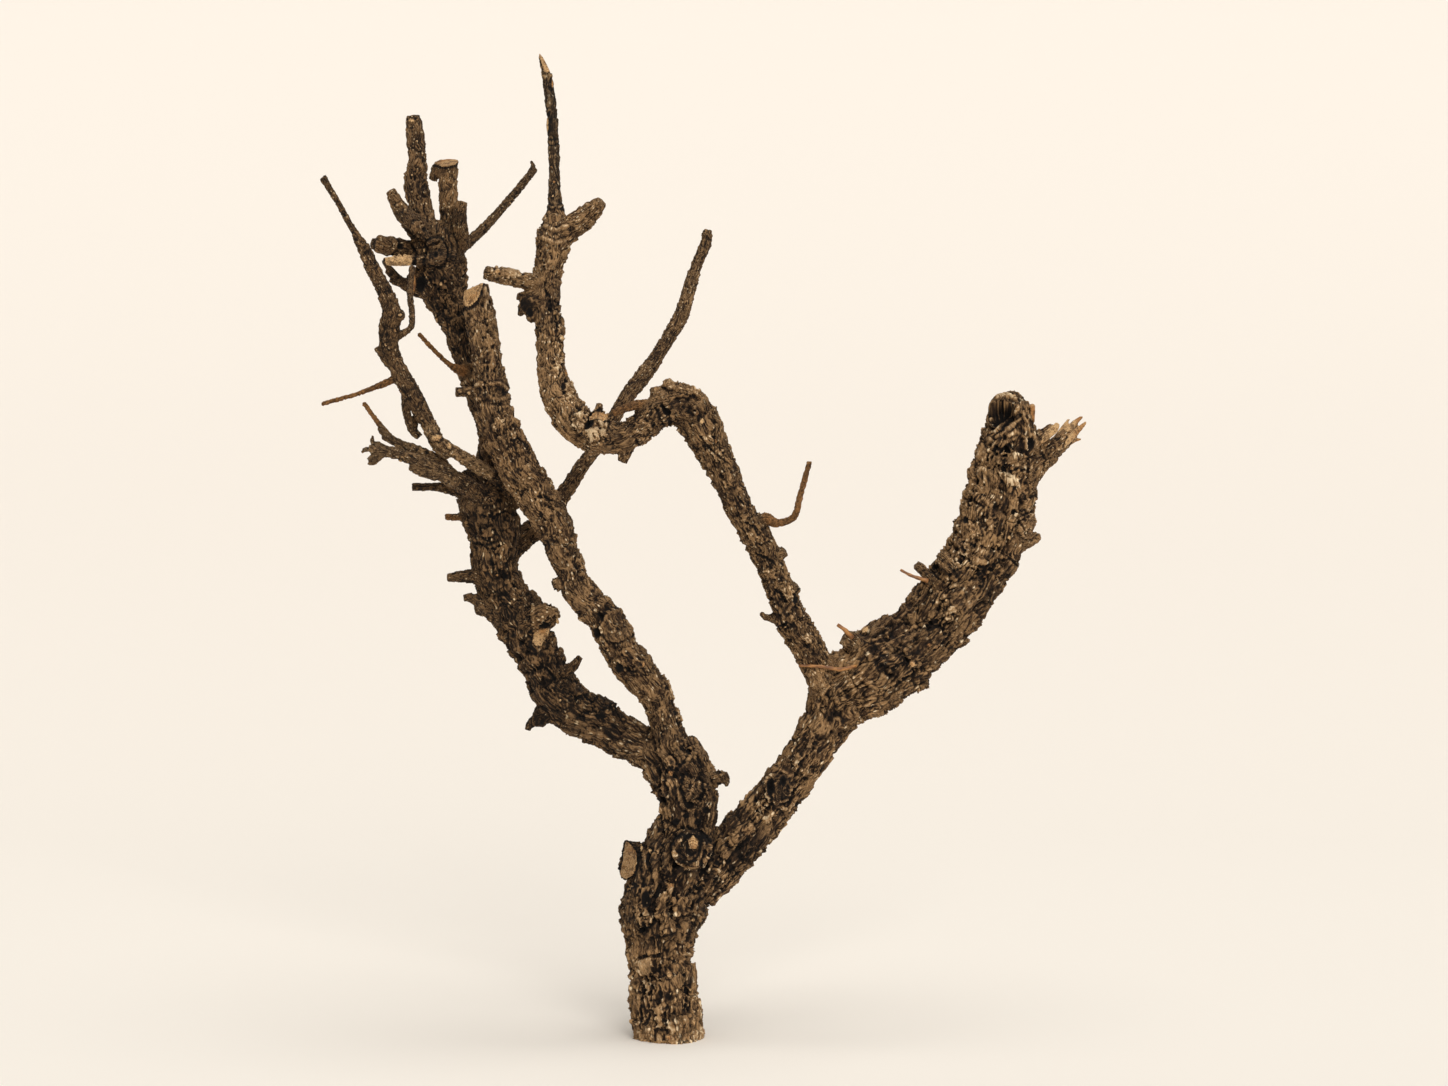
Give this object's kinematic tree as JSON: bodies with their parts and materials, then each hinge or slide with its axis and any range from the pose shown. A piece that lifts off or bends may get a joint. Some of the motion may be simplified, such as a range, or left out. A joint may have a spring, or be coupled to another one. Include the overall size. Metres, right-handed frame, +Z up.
{
  "type": "driftwood branch",
  "caption": "Gnarled dry branch with rough bark, forking from a sawn upright foot into a thick broken arm, an arched limb, tall stems and thin crooked twigs.",
  "frame": {"origin": "centre of the foot's flat sawn end", "axes": "+Z up the branch, +X to the right of the front view, -Y towards the viewer"},
  "size_m": [0.273, 0.0777, 0.3559],
  "materials": {
    "brown_bark": "rough plated bark, tan on the ridges and nearly black in the cracks",
    "dark_bark": "rough dark bark with pale pores",
    "grey_bark": "thin grey-brown weathered bark with long furrows"
  },
  "bodies": {
    "root": {"trunk": "brown_bark", "right_limb": "brown_bark", "right_arm": "brown_bark", "arch_limb": "brown_bark", "arch_rise": "brown_bark", "top_twig": "grey_bark", "left_limb": "dark_bark", "mid_stem": "brown_bark", "head_stem": "dark_bark", "left_prong": "dark_bark", "right_prong": "dark_bark", "head_twig": "dark_bark", "diagonal_twig": "brown_bark", "lower_branch": "grey_bark", "upper_branch": "grey_bark", "left_twig": "dark_bark"}
  },
  "joints": []
}
